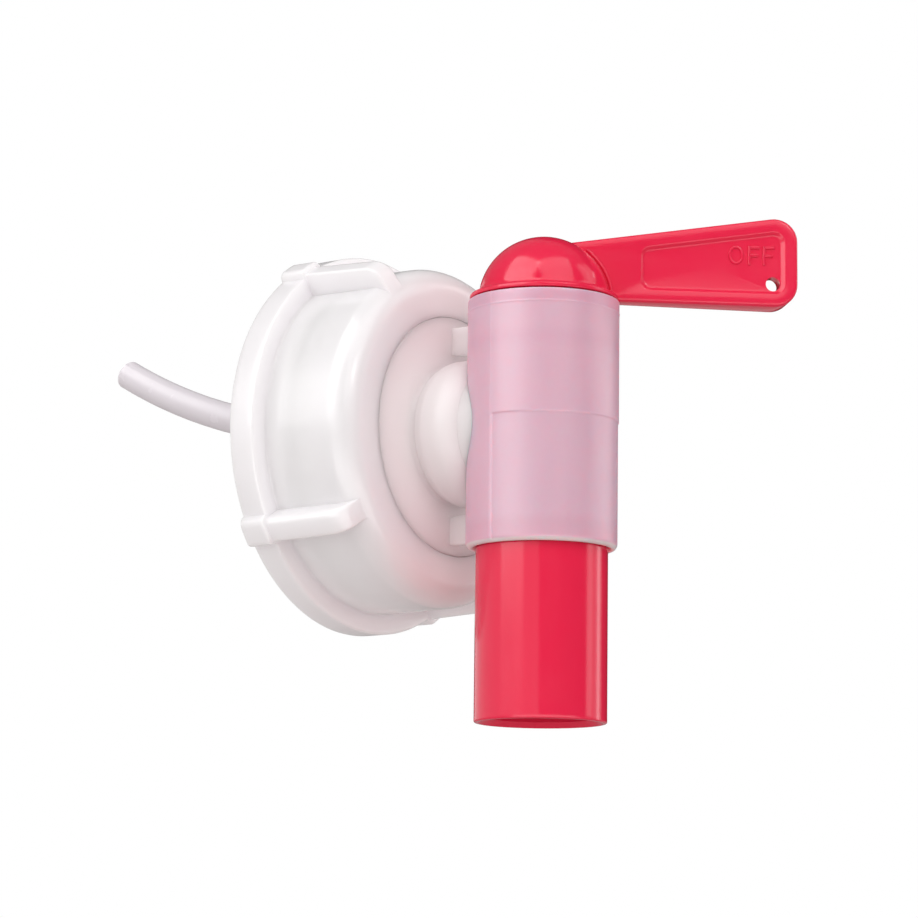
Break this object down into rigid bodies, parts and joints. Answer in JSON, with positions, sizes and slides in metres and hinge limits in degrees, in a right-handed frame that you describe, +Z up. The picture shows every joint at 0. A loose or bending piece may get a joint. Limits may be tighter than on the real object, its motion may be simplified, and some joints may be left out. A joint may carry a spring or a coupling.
{
  "type": "canister tap",
  "caption": "White screw cap for a canister neck, with a plug tap through it: an upright sleeve, a red spout and lever that turn together, and a bent air tube.",
  "frame": {"origin": "centre of the screw cap's mouth plane, on the axis of its thread", "axes": "+Y along the thread axis into the canister, +Z up along the tap's barrel with the spout pointing down, +X to the right seen from the front"},
  "size_m": [0.07, 0.137, 0.0921],
  "materials": {
    "cap_plastic": "smooth white moulding",
    "body_plastic": "milky, slightly see-through moulding",
    "plug_plastic": "glossy raspberry red moulding",
    "seal_rubber": "dark soft rubber",
    "tube_plastic": "milky white tube"
  },
  "bodies": {
    "tap_body": {"tap_body": "body_plastic", "flange_gasket": "seal_rubber", "air_tube": "tube_plastic"},
    "valve_plug": {"valve_plug": "plug_plastic"},
    "screw_cap": {"screw_cap": "cap_plastic"}
  },
  "joints": [
    {"name": "lever_turn", "type": "hinge", "parent": "tap_body", "child": "valve_plug", "pos_m": [0, -0.0435, 0], "axis": [0, 0, 1], "range_deg": [-90, 0]},
    {"name": "cap_turn", "type": "hinge", "parent": "tap_body", "child": "screw_cap", "pos_m": [0, 0, 0], "axis": [0, 1, 0], "continuous": true}
  ]
}
